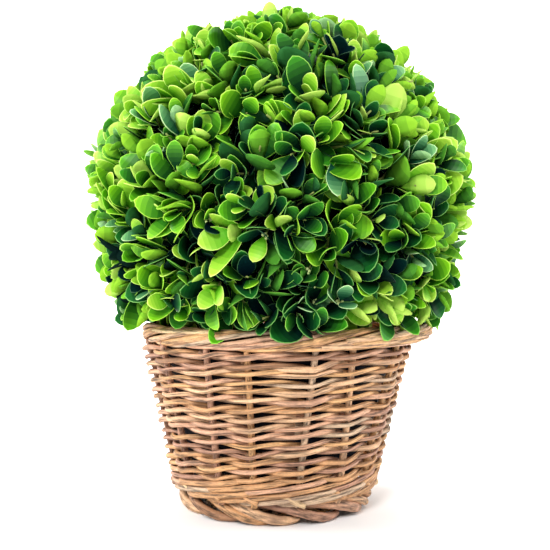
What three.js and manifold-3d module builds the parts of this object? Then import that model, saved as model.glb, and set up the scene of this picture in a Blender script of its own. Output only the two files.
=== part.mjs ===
// Box topiary ball in a woven willow basket, in millimetres, +Z up.
// The origin is the middle of the basket's flat underside, where the plant stands.
// The basket leans a little towards +X, as a hand-woven one does, and the clipped ball of box
// leaves sits on its rim, round a short stem that stands on the potting fill.

import * as THREE from "three";
import { mergeVertices } from "three/addons/utils/BufferGeometryUtils.js";
import Module from "manifold-3d";

// Driving dimensions
const OVERALL_HEIGHT = 254;
const GAP = 0.3; // clearance between pieces that touch

// Basket: each ring's middle moves towards +X by this share of its height
const BASKET_LEAN = 0.018;
const STAKE_COUNT = 16;
const STAKE_RADIUS = 1.65;
const ROD_THICKNESS = 2.8; // one woven rod
const WALE_PITCH = 4.5; // the thicker courses at the wall's foot
const WALE_COUNT = 2;
const ROW_PITCH = 4.2;
const ROW_COUNT = 15;
const ROW_RELIEF = 1.3; // how far a course stands out from the groove between two courses
const STAKE_SIDES = 8;
const STAKE_START = THREE.MathUtils.degToRad(13.5); // the first stake's place, from +X
const RING_SEGMENTS = STAKE_COUNT * 2; // round the turned pieces
const RING_STEPS_PER_ROD = 4; // along each rod of a plaited border
const RING_SECTION_SIDES = 8;

const FOOT_OUTER_RADIUS = 49.7;
const FOOT_HEIGHT = 11.6;
const FOOT_DEPTH = 11.6;
const BASE_THICKNESS = 7;

const WALL_BOTTOM = FOOT_HEIGHT + GAP;
const WALL_TOP = WALL_BOTTOM + WALE_COUNT * WALE_PITCH + ROW_COUNT * ROW_PITCH;
const WALL_HALF_THICKNESS = STAKE_RADIUS + ROD_THICKNESS;
const WALL_MIDDLE_AT_BOTTOM = 47.8;
const WALL_FLARE = 0.24; // growth of the radius with height

const RIM_OUTER_RADIUS = 73.6;
const RIM_DEPTH = 10.6;
const RIM_TOP = 94.8;
const RIM_SHIFT = 3; // the border was worked a little to one side of the wall, towards +X

// Inside the basket
const LINER_THICKNESS = 1;
const LINER_FOOT_INSET = 1; // the liner's flat bottom keeps this far inside the foot border
const FILL_FOOT_INSET = 4; // and the fill inside the liner this far
const FILL_EDGE_DROP = 3; // the fill slopes down this far towards the liner
const FILL_SLOPE_WIDTH = 12;
const FIT = 0.1; // extra room round a piece let into another
const FILL_TOP = 86;
const LINER_TOP = FILL_TOP;

// Plant
const STEM_FOOT_RADIUS = 8;
const STEM_NECK_RADIUS = 5.4;
const STEM_TIP_RADIUS = 4;
const STEM_FLARE_HEIGHT = 14;
const STEM_TIP = 148;
const STEM_LEAN = 0.02; // the tip moves towards +X by this share of its height
const STEM_X = 2;
const STEM_SEGMENTS = 16;

const BALL_X = 2.8;
const BALL_CENTRE_Z = 157;
const BALL_RADIUS = 94.5; // before the uneven leaf surface is added
const BALL_TIP_WIDTH = 201; // over the furthest leaf tips
const BALL_SKIRT_RADIUS = 83; // lowest leaves, which hang out past the rim
const BALL_SKIRT_Z = 91;
const BALL_SEAT_INSET = 9; // the ball's seat on the fill keeps this far inside the rim
const SKIRT_FOLD = 2; // rounding of the skirt's lower edge
const SKIRT_BLEND = 5; // the leaf surface is even up to this far above the skirt's edge
const UNEVEN_FROM = 30; // and at full unevenness this far above it
const BALL_UNEVENNESS = 4;
const BALL_AROUND = 44;
const BALL_UP = 17;
const SKIRT_STEPS = 6;

const wasm = await Module();
wasm.setup();

const wallMiddle = (z) => WALL_MIDDLE_AT_BOTTOM + WALL_FLARE * (z - WALL_BOTTOM);
const wallInside = (z) => wallMiddle(z) - WALL_HALF_THICKNESS;

function material(colour, roughness) {
  return new THREE.MeshStandardMaterial({ color: colour, roughness, metalness: 0 });
}

const willow = material(0xc79a6b, 0.75);
const splitWillow = material(0xb98a5c, 0.75);
const darkFilm = material(0x14161c, 0.45);
const fillFibre = material(0x4a3a28, 0.95);
const boxBark = material(0x8a7a5c, 0.9);
const boxLeaf = material(0x4f8f2c, 0.5);

function named(name, geometry, finish) {
  const mesh = new THREE.Mesh(geometry, finish);
  mesh.name = name;
  return mesh;
}

// A LatheGeometry turns about Y: this stands it on Z, from points [radius, height].
function turned(profile, segments = RING_SEGMENTS) {
  const points = profile.map(([radius, height]) => new THREE.Vector2(radius, height));
  return new THREE.LatheGeometry(points, segments).rotateX(Math.PI / 2);
}

function toSolid(geometry) {
  const bare = geometry.clone();
  bare.deleteAttribute("normal");
  bare.deleteAttribute("uv");
  const merged = mergeVertices(bare, 1e-4);
  return new wasm.Manifold(
    new wasm.Mesh({
      numProp: 3,
      vertProperties: merged.attributes.position.array,
      triVerts: new Uint32Array(merged.index.array),
    }),
  );
}

function toGeometry(solid) {
  const mesh = solid.getMesh();
  return new THREE.BufferGeometry()
    .setAttribute("position", new THREE.BufferAttribute(mesh.vertProperties, 3))
    .setIndex(new THREE.BufferAttribute(mesh.triVerts, 1));
}

// A closed ring of twisted rods: its section is an ellipse, and the rods stand out as a rope's do.
// Its underside is pressed flat at floor.
function plaitedRing({ outerRadius, depth, top, height, rods, twist, relief, floor }) {
  const around = rods * RING_STEPS_PER_ROD;
  const section = RING_SECTION_SIDES;
  const middleRadius = outerRadius - depth / 2;
  const middleZ = top - height / 2;
  const position = [];
  const index = [];
  for (let i = 0; i < around; i++) {
    const turn = (2 * Math.PI * i) / around;
    for (let j = 0; j < section; j++) {
      const roll = (2 * Math.PI * j) / section;
      const swell = 1 - relief * Math.abs(Math.sin((rods * turn + twist * roll) / 2));
      const radius = middleRadius + (depth / 2) * swell * Math.cos(roll);
      const z = middleZ + (height / 2) * swell * Math.sin(roll);
      position.push(radius * Math.cos(turn), radius * Math.sin(turn), Math.max(z, floor));
      const a = i * section + j;
      const b = ((i + 1) % around) * section + j;
      const up = (j + 1) % section - j;
      index.push(a, b, b + up, a, b + up, a + up);
    }
  }
  return new THREE.BufferGeometry()
    .setAttribute("position", new THREE.Float32BufferAttribute(position, 3))
    .setIndex(index);
}

// The foot border: thick rods rolled round under the wall.
function footBorder() {
  return named(
    "foot_border",
    plaitedRing({
      outerRadius: FOOT_OUTER_RADIUS,
      depth: FOOT_DEPTH,
      top: FOOT_HEIGHT,
      height: FOOT_HEIGHT + 1,
      rods: STAKE_COUNT,
      twist: 2,
      relief: 0.12,
      floor: 0,
    }),
    splitWillow,
  );
}

// The woven base: a flat disc inside the foot border, flush with its underside.
function wovenBase() {
  const radius = FOOT_OUTER_RADIUS - FOOT_DEPTH - GAP;
  const disc = turned([
    [0, 0],
    [radius, 0],
    [radius, BASE_THICKNESS],
    [0, BASE_THICKNESS],
  ]);
  return named("woven_base", disc, splitWillow);
}

// One upright stake, along the middle of the wall.
function stakeEnds(index, extra = 0) {
  const turn = STAKE_START + (2 * Math.PI * index) / STAKE_COUNT;
  return [WALL_BOTTOM - extra, WALL_TOP + extra].map((z) => {
    const radius = wallMiddle(z);
    return new THREE.Vector3(radius * Math.cos(turn), radius * Math.sin(turn), z);
  });
}

function rodBetween(start, end, radius) {
  const along = end.clone().sub(start);
  const rod = new THREE.Mesh(new THREE.CylinderGeometry(radius, radius, along.length(), STAKE_SIDES));
  rod.quaternion.setFromUnitVectors(new THREE.Vector3(0, 1, 0), along.clone().normalize());
  rod.position.copy(start).addScaledVector(along, 0.5);
  return rod;
}

function stake(index) {
  const [foot, tip] = stakeEnds(index);
  const rod = rodBetween(foot, tip, STAKE_RADIUS);
  rod.name = `stake_${String(index + 1).padStart(2, "0")}`;
  rod.material = willow;
  return rod;
}

// The side: courses of thick rods at the foot, then courses of paired rods, one over the next,
// all woven round the stakes.
function sideWeave() {
  const face = (z, inset) => [wallMiddle(z) + WALL_HALF_THICKNESS - inset, z];
  const outside = [];
  let z = WALL_BOTTOM;
  for (let row = 0; row < WALE_COUNT + ROW_COUNT; row++) {
    const pitch = row < WALE_COUNT ? WALE_PITCH : ROW_PITCH;
    outside.push(face(z, ROW_RELIEF), face(z + pitch / 2, 0));
    z += pitch;
  }
  const shell = turned([
    [wallInside(WALL_BOTTOM), WALL_BOTTOM],
    ...outside,
    face(WALL_TOP, ROW_RELIEF),
    [wallInside(WALL_TOP), WALL_TOP],
    [wallInside(WALL_BOTTOM), WALL_BOTTOM],
  ]);
  let weave = toSolid(shell);
  for (let index = 0; index < STAKE_COUNT; index++) {
    const [foot, tip] = stakeEnds(index, 1);
    const channel = rodBetween(foot, tip, STAKE_RADIUS + GAP + FIT);
    channel.updateMatrix();
    weave = weave.subtract(toSolid(channel.geometry.clone().applyMatrix4(channel.matrix)));
  }
  return named("side_weave", toGeometry(weave), willow);
}

// The rim border: the stakes' upper ends, laid down over each other and rolled round the edge.
function rimBorder() {
  const ring = plaitedRing({
    outerRadius: RIM_OUTER_RADIUS,
    depth: RIM_DEPTH,
    top: RIM_TOP,
    height: RIM_TOP - WALL_TOP - GAP,
    rods: STAKE_COUNT,
    twist: -1,
    relief: 0.08,
    floor: WALL_TOP + GAP,
  });
  return named("rim_border", ring.translate(RIM_SHIFT, 0, 0), willow);
}

// The liner: a dark film pot inside the weave.
function liner() {
  const foot = FOOT_OUTER_RADIUS - FOOT_DEPTH - 2 * GAP;
  const bottom = BASE_THICKNESS + GAP;
  const shoulder = WALL_BOTTOM + 1;
  const outer = (z) => wallInside(z) - GAP;
  return named(
    "liner",
    turned([
      [0, bottom],
      [foot - LINER_FOOT_INSET, bottom],
      [outer(shoulder), shoulder],
      [outer(LINER_TOP), LINER_TOP],
      [outer(LINER_TOP) - LINER_THICKNESS, LINER_TOP],
      [outer(shoulder) - LINER_THICKNESS, shoulder + LINER_THICKNESS / 2],
      [foot - LINER_FOOT_INSET - LINER_THICKNESS, bottom + LINER_THICKNESS],
      [0, bottom + LINER_THICKNESS],
    ]),
    darkFilm,
  );
}

// The potting fill: coarse fibre, packed into the liner almost to its edge.
function pottingFill() {
  const inner = (z) => wallInside(z) - LINER_THICKNESS - 2 * GAP - FIT;
  const bottom = BASE_THICKNESS + LINER_THICKNESS + 3 * GAP;
  const shoulder = WALL_BOTTOM + 2;
  const edge = FILL_TOP - FILL_EDGE_DROP;
  return named(
    "potting_fill",
    turned([
      [0, bottom],
      [FOOT_OUTER_RADIUS - FOOT_DEPTH - FILL_FOOT_INSET, bottom],
      [inner(shoulder), shoulder],
      [inner(edge), edge],
      [inner(edge) - FILL_SLOPE_WIDTH, FILL_TOP],
      [0, FILL_TOP],
    ]),
    fillFibre,
  );
}

// The stem: a flat cut on the fill, a root flare, and a taper to its fork inside the leaves.
function stemShape(extra = 0, below = 0) {
  const foot = FILL_TOP + GAP;
  const neck = foot + STEM_FLARE_HEIGHT;
  const flare = (share) => {
    const curve = (1 - share) ** 2;
    return STEM_NECK_RADIUS + (STEM_FOOT_RADIUS - STEM_NECK_RADIUS) * curve + extra;
  };
  return turned(
    [
      [0, foot - below],
      [flare(0), foot - below],
      [flare(0.3), foot + 0.3 * STEM_FLARE_HEIGHT],
      [flare(0.6), foot + 0.6 * STEM_FLARE_HEIGHT],
      [flare(1), neck],
      [STEM_TIP_RADIUS + extra, STEM_TIP + extra],
      [0, STEM_TIP + extra],
    ],
    STEM_SEGMENTS,
  ).applyMatrix4(new THREE.Matrix4().makeShear(0, 0, 0, 0, STEM_LEAN, 0));
}

// Lumps as wide as a few sprigs, between -1 and 1, with no seam round the ball.
function lumps(direction) {
  const { x, y, z } = direction;
  const broad = Math.sin(5.1 * x + 1.3) * Math.sin(4.7 * y + 0.4) * Math.cos(5.3 * z);
  const fine = Math.sin(11.3 * x - 8.1 * z) * Math.sin(10.7 * y + 6.9 * z + 0.8);
  return 0.55 * broad + 0.45 * fine;
}

// The ball's outline from the middle of its underside to its top, as [radius, height].
// It rests inside the rim, passes over it, hangs past it as a skirt, and closes as a sphere.
function ballOutline() {
  const inside = RIM_OUTER_RADIUS - RIM_DEPTH - BALL_SEAT_INSET;
  const seat = FILL_TOP + 2 * GAP;
  const overRim = RIM_TOP + GAP;
  const outline = [
    [0, seat],
    [inside, seat],
    [inside + SKIRT_FOLD, overRim],
    [RIM_OUTER_RADIUS, overRim],
    [BALL_SKIRT_RADIUS - SKIRT_FOLD, overRim - SKIRT_FOLD],
  ];
  for (let step = 0; step < SKIRT_STEPS; step++) {
    const share = step / SKIRT_STEPS;
    const spread = Math.sin((Math.PI / 2) * share);
    outline.push([
      BALL_SKIRT_RADIUS + (BALL_RADIUS - BALL_SKIRT_RADIUS) * spread,
      BALL_SKIRT_Z + (BALL_CENTRE_Z - BALL_SKIRT_Z) * share,
    ]);
  }
  for (let step = 0; step <= BALL_UP; step++) {
    const rise = ((Math.PI / 2) * step) / BALL_UP;
    outline.push([
      step < BALL_UP ? BALL_RADIUS * Math.cos(rise) : 0,
      BALL_CENTRE_Z + BALL_RADIUS * Math.sin(rise),
    ]);
  }
  return outline;
}

// 0 at the skirt's edge, rising to 1 at the height given.
function shareAboveSkirt(z, full) {
  return THREE.MathUtils.smoothstep(z, BALL_SKIRT_Z + SKIRT_BLEND, full);
}

// The clipped ball: one mass of leaves, uneven above its skirt, and reaching the furthest tips.
function leafBall() {
  const smooth = toSolid(turned(ballOutline(), BALL_AROUND));
  const centre = new THREE.Vector3(0, 0, BALL_CENTRE_Z);
  const uneven = smooth.warp((vertex) => {
    const offset = new THREE.Vector3(...vertex).sub(centre);
    const share = shareAboveSkirt(vertex[2], BALL_SKIRT_Z + UNEVEN_FROM);
    const direction = offset.clone().normalize();
    offset.addScaledVector(direction, BALL_UNEVENNESS * share * lumps(direction));
    vertex[0] = offset.x;
    vertex[1] = offset.y;
    vertex[2] = offset.z + BALL_CENTRE_Z;
  });
  const box = uneven.boundingBox();
  const widen = BALL_TIP_WIDTH / (box.max[0] - box.min[0]);
  const raise = (OVERALL_HEIGHT - BALL_CENTRE_Z) / (box.max[2] - BALL_CENTRE_Z);
  const sized = uneven.warp((vertex) => {
    const share = shareAboveSkirt(vertex[2], BALL_CENTRE_Z);
    const grow = 1 + (widen - 1) * share;
    const rise = Math.max(0, vertex[2] - BALL_CENTRE_Z) * (raise - 1);
    vertex[0] = vertex[0] * grow + BALL_X;
    vertex[1] = vertex[1] * grow;
    vertex[2] = vertex[2] + rise;
  });
  const socket = toSolid(stemShape(GAP + FIT, 2)).translate([STEM_X, 0, 0]);
  return named("leaf_ball", toGeometry(sized.subtract(socket)), boxLeaf);
}

// The stem, standing on the fill.
function stem() {
  const mesh = named("stem", stemShape(), boxBark);
  mesh.position.x = STEM_X;
  return mesh;
}

const basket = new THREE.Group();
basket.matrixAutoUpdate = false;
basket.matrix.makeShear(0, 0, 0, 0, BASKET_LEAN, 0);
basket.add(footBorder(), wovenBase(), sideWeave(), rimBorder(), liner(), pottingFill());
for (let index = 0; index < STAKE_COUNT; index++) basket.add(stake(index));

const plant = new THREE.Group();
plant.add(stem(), leafBall());

const topiary = new THREE.Group();
topiary.add(basket, plant);

export default topiary;
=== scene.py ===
import math

import bmesh
import bpy
import numpy as np
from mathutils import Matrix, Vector, noise
from mathutils.bvhtree import BVHTree


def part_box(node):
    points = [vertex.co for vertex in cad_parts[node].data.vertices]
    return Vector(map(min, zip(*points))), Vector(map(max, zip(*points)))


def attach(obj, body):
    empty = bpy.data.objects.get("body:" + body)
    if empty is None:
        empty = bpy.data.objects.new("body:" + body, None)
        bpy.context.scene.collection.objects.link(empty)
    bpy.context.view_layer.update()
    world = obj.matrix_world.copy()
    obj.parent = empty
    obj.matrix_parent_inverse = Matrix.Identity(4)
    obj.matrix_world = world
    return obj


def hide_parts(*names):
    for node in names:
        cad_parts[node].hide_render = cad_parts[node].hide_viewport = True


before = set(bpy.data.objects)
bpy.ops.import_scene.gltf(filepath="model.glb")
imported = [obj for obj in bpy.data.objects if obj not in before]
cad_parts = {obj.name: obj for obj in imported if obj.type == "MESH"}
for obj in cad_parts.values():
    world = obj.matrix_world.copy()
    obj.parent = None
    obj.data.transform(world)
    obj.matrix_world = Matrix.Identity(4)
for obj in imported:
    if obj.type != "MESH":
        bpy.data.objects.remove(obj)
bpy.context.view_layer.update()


# ---------------------------------------------------------------------------------------------
# Stakes: the upright willow rods that the side is woven round. They lean a little, each its own
# way, and stand where the frame has them. Dry buff willow, drawn as tapering swept rods.
# ---------------------------------------------------------------------------------------------
MM = 0.001
STAKES = 16

foot_low, foot_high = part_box("foot_border")
wall_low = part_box("side_weave")[0]
rim_low, rim_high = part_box("rim_border")


def rod_ends(node):
    """The middles of the two ends of a straight rod in the frame, lower one first."""
    places = [v.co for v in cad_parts[node].data.vertices]
    middle = (min(p.z for p in places) + max(p.z for p in places)) / 2
    halves = [p for p in places if p.z < middle], [p for p in places if p.z >= middle]
    return [sum(half, Vector()) / len(half) for half in halves]


stake_lines = [rod_ends(f"stake_{k + 1:02d}") for k in range(STAKES)]
wall_foot = sum((line[0] for line in stake_lines), Vector()) / STAKES
wall_tip = sum((line[1] for line in stake_lines), Vector()) / STAKES
lean = wall_tip.x / wall_tip.z
foot_radius = math.hypot(stake_lines[0][0].x - lean * wall_foot.z, stake_lines[0][0].y)
tip_radius = math.hypot(stake_lines[0][1].x - lean * wall_tip.z, stake_lines[0][1].y)
wall_flare = (tip_radius - foot_radius) / (wall_tip.z - wall_foot.z)
WALL_FULLNESS = 0.8 * MM  # the rods stand out a little past the plain wall of the frame
WALL_SAG = 0.6 * MM  # and the whole wall sits a little to the left

basket_rng = np.random.default_rng(16)
STAKE_DRIFT = math.radians(2.2)


def stake_turns(end):
    """Each stake's angle round the basket at one end, with its own drift, and the first again."""
    turns = []
    for line in stake_lines:
        place = line[end]
        turn = math.atan2(place.y, place.x - lean * place.z)
        turns.append(turn + basket_rng.normal(0, STAKE_DRIFT))
    turns = np.unwrap(np.array(turns))
    return np.append(turns, turns[0] + 2 * math.pi)


turns_at_foot, turns_at_tip = stake_turns(0), stake_turns(1)


def turn_at(place, z):
    """The angle at a place counted in stakes, at a height."""
    share = (z - wall_foot.z) / (wall_tip.z - wall_foot.z)
    low = np.interp(place % STAKES, range(STAKES + 1), turns_at_foot)
    high = np.interp(place % STAKES, range(STAKES + 1), turns_at_tip)
    return low + (high - low) * share


def on_wall(place, z, out):
    """Points on the wall: place counted in stakes, height, and distance out from its middle."""
    turn = turn_at(place, z)
    radius = foot_radius + wall_flare * (z - wall_foot.z) + WALL_FULLNESS + out
    x = radius * np.cos(turn) + lean * z - WALL_SAG
    return np.stack([x, radius * np.sin(turn), z], axis=-1)


def linear(red, green, blue):
    """A colour as light values, from the 0 to 255 scale of a colour chart."""
    shares = np.array([red, green, blue]) / 255
    light = np.where(shares <= 0.04045, shares / 12.92, ((shares + 0.055) / 1.055) ** 2.4)
    return (*light.tolist(), 1.0)


def finished(piece, slot, *nodes):
    """A piece of the one body, and the frame nodes that it stands for; the finish given for it
    (slot) is not used.
    """
    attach(piece, "root")
    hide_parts(*nodes)
    return piece


def rod_piece(name, rods, materials, sides=8):
    """One mesh of swept rods, each given as (points, radii, material number)."""
    line = bpy.data.curves.new(name, "CURVE")
    line.dimensions = "3D"
    line.bevel_depth = 1.0
    line.bevel_resolution = (sides - 4) // 2
    line.use_fill_caps = True
    for material in materials:
        line.materials.append(material)
    lengths = []
    for points, radii, tone in rods:
        points = np.asarray(points)
        spline = line.splines.new("POLY")
        spline.points.add(len(points) - 1)
        spline.points.foreach_set("co", np.c_[points, np.ones(len(points))].ravel())
        spline.points.foreach_set("radius", np.broadcast_to(radii, len(points)).astype(float))
        spline.material_index = int(tone)
        spline.use_smooth = True
        lengths.append(np.linalg.norm(np.diff(points, axis=0), axis=1).sum())
    drawn = bpy.data.objects.new(name, line)
    bpy.context.scene.collection.objects.link(drawn)
    mesh = bpy.data.meshes.new_from_object(
        drawn.evaluated_get(bpy.context.evaluated_depsgraph_get())
    )
    bpy.data.objects.remove(drawn)
    along = mesh.uv_layers.active.data
    places = np.zeros(len(along) * 2, np.float32)
    along.foreach_get("uv", places)
    places[0::2] *= float(np.mean(lengths))
    along.foreach_set("uv", places)
    shape = bmesh.new()
    shape.from_mesh(mesh)
    bmesh.ops.remove_doubles(shape, verts=shape.verts, dist=1e-6)
    bmesh.ops.recalc_face_normals(shape, faces=shape.faces)
    for face in shape.faces:
        face.smooth = len(face.verts) <= 4
    shape.to_mesh(mesh)
    shape.free()
    mesh.name = name
    piece = bpy.data.objects.new(name, mesh)
    bpy.context.scene.collection.objects.link(piece)
    return piece


def shader_group(name, inputs, outputs):
    """An empty shader node group with named sockets, each given as (name, socket type)."""
    tree = bpy.data.node_groups.new(name, "ShaderNodeTree")
    for label, kind in inputs:
        tree.interface.new_socket(name=label, in_out="INPUT", socket_type="NodeSocket" + kind)
    for label, kind in outputs:
        tree.interface.new_socket(name=label, in_out="OUTPUT", socket_type="NodeSocket" + kind)
    return tree, tree.nodes.new("NodeGroupInput"), tree.nodes.new("NodeGroupOutput")


def noise_node(tree, vector, scale, detail, roughness=0.5):
    """A noise pattern on a vector."""
    made = tree.nodes.new("ShaderNodeTexNoise")
    made.inputs["Scale"].default_value = scale
    made.inputs["Detail"].default_value = detail
    made.inputs["Roughness"].default_value = roughness
    tree.links.new(vector, made.inputs["Vector"])
    return made.outputs["Fac"]


def range_node(tree, value, low, high, to_low=0.0, to_high=1.0):
    """A value's range stretched to another, and held at its ends."""
    made = tree.nodes.new("ShaderNodeMapRange")
    made.inputs["From Min"].default_value = low
    made.inputs["From Max"].default_value = high
    made.inputs["To Min"].default_value = to_low
    made.inputs["To Max"].default_value = to_high
    tree.links.new(value, made.inputs["Value"])
    return made.outputs["Result"]


def mix_node(tree, share, first, second, blend="MIX"):
    """Two colours mixed by a share that varies over the surface."""
    made = tree.nodes.new("ShaderNodeMix")
    made.data_type = "RGBA"
    made.blend_type = blend
    tree.links.new(share, made.inputs[0])
    for source, socket in ((first, made.inputs[6]), (second, made.inputs[7])):
        if isinstance(source, tuple):
            socket.default_value = source
        else:
            tree.links.new(source, socket)
    return made.outputs[2]


STREAK_SCALE = (70, 7, 0)  # streaks are narrow round the rod and long along it
STREAK_SHIFT = (0, 0, 310)  # and differ from one course of the wall to the next
BLOTCH_SCALE = 70
SPECK_SCALE = 900


def rod_grain():
    """Dry willow skin: streaks along the rod, darker blotches, and a fine ridged surface."""
    tree, given, made = shader_group(
        "rod_grain",
        [("Colour", "Color"), ("Streak", "Color"), ("Blotch", "Color")],
        [("Colour", "Color"), ("Roughness", "Float"), ("Height", "Float")],
    )
    place = tree.nodes.new("ShaderNodeTexCoord")
    apart = tree.nodes.new("ShaderNodeVectorMath")
    apart.operation = "MULTIPLY"
    apart.inputs[1].default_value = STREAK_SHIFT
    tree.links.new(place.outputs["Object"], apart.inputs[0])
    along = tree.nodes.new("ShaderNodeVectorMath")
    along.operation = "MULTIPLY_ADD"
    along.inputs[1].default_value = STREAK_SCALE
    tree.links.new(place.outputs["UV"], along.inputs[0])
    tree.links.new(apart.outputs["Vector"], along.inputs[2])
    streak = noise_node(tree, along.outputs["Vector"], 1.0, 4, 0.65)
    speck = noise_node(tree, place.outputs["Object"], SPECK_SCALE, 2)
    blotch = noise_node(tree, place.outputs["Object"], BLOTCH_SCALE, 3, 0.6)
    streaked = range_node(tree, streak, 0.45, 0.64)
    blotched = range_node(tree, blotch, 0.5, 0.72, 0, 0.7)
    specked = range_node(tree, speck, 0.35, 0.75, 0, 0.25)
    colour = mix_node(tree, streaked, given.outputs["Colour"], given.outputs["Streak"])
    colour = mix_node(tree, blotched, colour, given.outputs["Blotch"])
    colour = mix_node(tree, specked, colour, given.outputs["Streak"])
    tree.links.new(colour, made.inputs["Colour"])
    tree.links.new(range_node(tree, streak, 0.3, 0.7, 0.5, 0.75), made.inputs["Roughness"])
    tree.links.new(streak, made.inputs["Height"])
    return tree


def principled(name):
    """A new material, its node tree and its shader."""
    material = bpy.data.materials.new(name)
    material.use_nodes = True
    return material, material.node_tree, material.node_tree.nodes["Principled BSDF"]


def patterned(name, group, colours, relief, depth, specular=0.35):
    """A material with a group's colour, roughness and relief, the depth of the relief in metres."""
    material, tree, shader = principled(name)
    pattern = tree.nodes.new("ShaderNodeGroup")
    pattern.node_tree = group
    for label, colour in colours.items():
        pattern.inputs[label].default_value = colour
    bump = tree.nodes.new("ShaderNodeBump")
    bump.inputs["Strength"].default_value = relief
    bump.inputs["Distance"].default_value = depth
    shader.inputs["Specular IOR Level"].default_value = specular
    tree.links.new(pattern.outputs["Colour"], shader.inputs["Base Color"])
    tree.links.new(pattern.outputs["Roughness"], shader.inputs["Roughness"])
    tree.links.new(pattern.outputs["Height"], bump.inputs["Height"])
    tree.links.new(bump.outputs["Normal"], shader.inputs["Normal"])
    return material


willow_grain = rod_grain()
STREAK_DARKNESS = 0.42
BLOTCH_DARKNESS = 0.7
BLOTCH_WARMTH = (1.02, 0.98, 1.0)
WILLOW_TONES = {
    "honey": (228, 176, 122),
    "buff": (232, 186, 144),
    "pink_buff": (222, 172, 138),
    "rose_brown": (192, 144, 116),
    "tan": (212, 160, 112),
    "grey_buff": (212, 180, 148),
    "brown": (172, 126, 92),
    "cut_end": (240, 204, 156),
}


def willow(name, chart):
    """One tone of willow rod."""
    shades = np.array(chart)
    return patterned(
        name,
        willow_grain,
        {
            "Colour": linear(*shades),
            "Streak": linear(*(shades * STREAK_DARKNESS)),
            "Blotch": linear(*(shades * BLOTCH_DARKNESS * BLOTCH_WARMTH)),
        },
        relief=0.6,
        depth=0.15 * MM,
    )


willow_materials = [willow(f"willow_{tone}", chart) for tone, chart in WILLOW_TONES.items()]
CUT_END = len(willow_materials) - 1
ROD_TONES = [0.2, 0.2, 0.19, 0.12, 0.18, 0.06, 0.05]  # the share of rods of each tone


def any_tone(shares=ROD_TONES):
    """The number of the willow tone picked for the next rod."""
    return basket_rng.choice(CUT_END, p=shares)


STAKE_RADIUS = 1.65 * MM
STAKE_POINTS = 14
STAKE_WANDER = 0.35 * MM
WANDER_LENGTH = 17 * MM
stake_heights = np.linspace(foot_high.z - 2 * MM, rim_low.z + 3 * MM, STAKE_POINTS)
stake_rods = []
for k in range(STAKES):
    wander = STAKE_WANDER * np.sin(stake_heights / WANDER_LENGTH + 2.4 * k)
    path = on_wall(np.full(STAKE_POINTS, float(k)), stake_heights, wander)
    girth = STAKE_RADIUS * np.linspace(1.05, 0.92, STAKE_POINTS)
    stake_rods.append((path, girth, any_tone()))
finished(
    rod_piece("stake_rods", stake_rods, willow_materials, 10),
    "willow_rods",
    *[f"stake_{k + 1:02d}" for k in range(STAKES)],
)


# ---------------------------------------------------------------------------------------------
# Side weave: courses of paired rods. Each rod passes in front of one stake and behind the next,
# and the two of a pair cross between the stakes, so every float rises to the right and dives in.
# ---------------------------------------------------------------------------------------------
COURSES = 15
WALE_COURSES = 2
COURSE_PITCH = 4.2 * MM
WALE_PITCH = 4.5 * MM
ROD_RADIUS = 1.26 * MM
CROSSING_RISE = 1.0 * MM  # how far above and below the course the two rods cross
STAKE_DIP = 0.7 * MM  # each course is pressed down into a notch at the stakes
ROD_CROOK = 0.16 * MM
POINTS_PER_STAKE = 11
WAVER_BANDS = 3  # the height is shared into bands over which the courses stray together
SHARED_WAVER = 0.6 * MM
OWN_WAVER = 0.42 * MM

pairing_foot = wall_low.z + WALE_COURSES * WALE_PITCH
shared_waver = basket_rng.normal(0, SHARED_WAVER, (WAVER_BANDS + 1, STAKES))
own_waver = basket_rng.normal(0, OWN_WAVER, (COURSES, STAKES))


def waver(course, place):
    """How far a course strays up or down at a place counted in stakes."""
    band = course / COURSES * WAVER_BANDS
    lower = int(band)
    upper = min(lower + 1, WAVER_BANDS)
    shared = shared_waver[lower] * (1 - band + lower) + shared_waver[upper] * (band - lower)
    fade = math.sin(math.pi * (course + 0.8) / (COURSES + 0.6))
    at_stakes = shared * fade + own_waver[course]
    return np.interp(place % STAKES, range(STAKES + 1), np.append(at_stakes, at_stakes[0]))


def paired_rod(course, strand, start, end, radius):
    """One rod of a pair, from a place behind the stakes to another."""
    place = np.linspace(start, end, int((end - start) * POINTS_PER_STAKE) + 1)
    swing = math.pi * (place + strand)
    middle = pairing_foot + (course + 0.5) * COURSE_PITCH
    dip = STAKE_DIP * (0.5 - np.abs(np.sin(math.pi * place)))
    crook = ROD_CROOK * np.sin(5.3 * place + 7 * course + 3 * strand) * np.sin(2.9 * place + start)
    z = middle + CROSSING_RISE * np.sin(swing) - dip + crook + waver(course, place)
    out = (STAKE_RADIUS + radius) * np.cos(swing)
    return on_wall(place, z, out)


ROD_TUCK = 0.2  # how far, in stakes, each end goes on behind its stake
weave_rods = []
for course in range(COURSES):
    for strand in (0, 1):
        # a rod starts and ends behind a stake, where its swing is an odd number of half turns
        start = 1 - strand + 2 * int(basket_rng.integers(0, 4))
        stop = start + STAKES
        while start < stop:
            end = min(start + 2 * int(basket_rng.integers(2, 5)), stop)
            radius = ROD_RADIUS * basket_rng.uniform(0.72, 1.14)
            path = paired_rod(course, strand, start - ROD_TUCK, end + ROD_TUCK, radius)
            knots = 1 + 0.05 * np.sin(np.arange(len(path)) * basket_rng.uniform(0.5, 0.9))
            girth = radius * knots * np.linspace(1.08, 0.86, len(path))
            weave_rods.append((path, girth, any_tone()))
            start = end
finished(rod_piece("pairing_weave", weave_rods, willow_materials, 8), "willow_rods", "side_weave")


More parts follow.
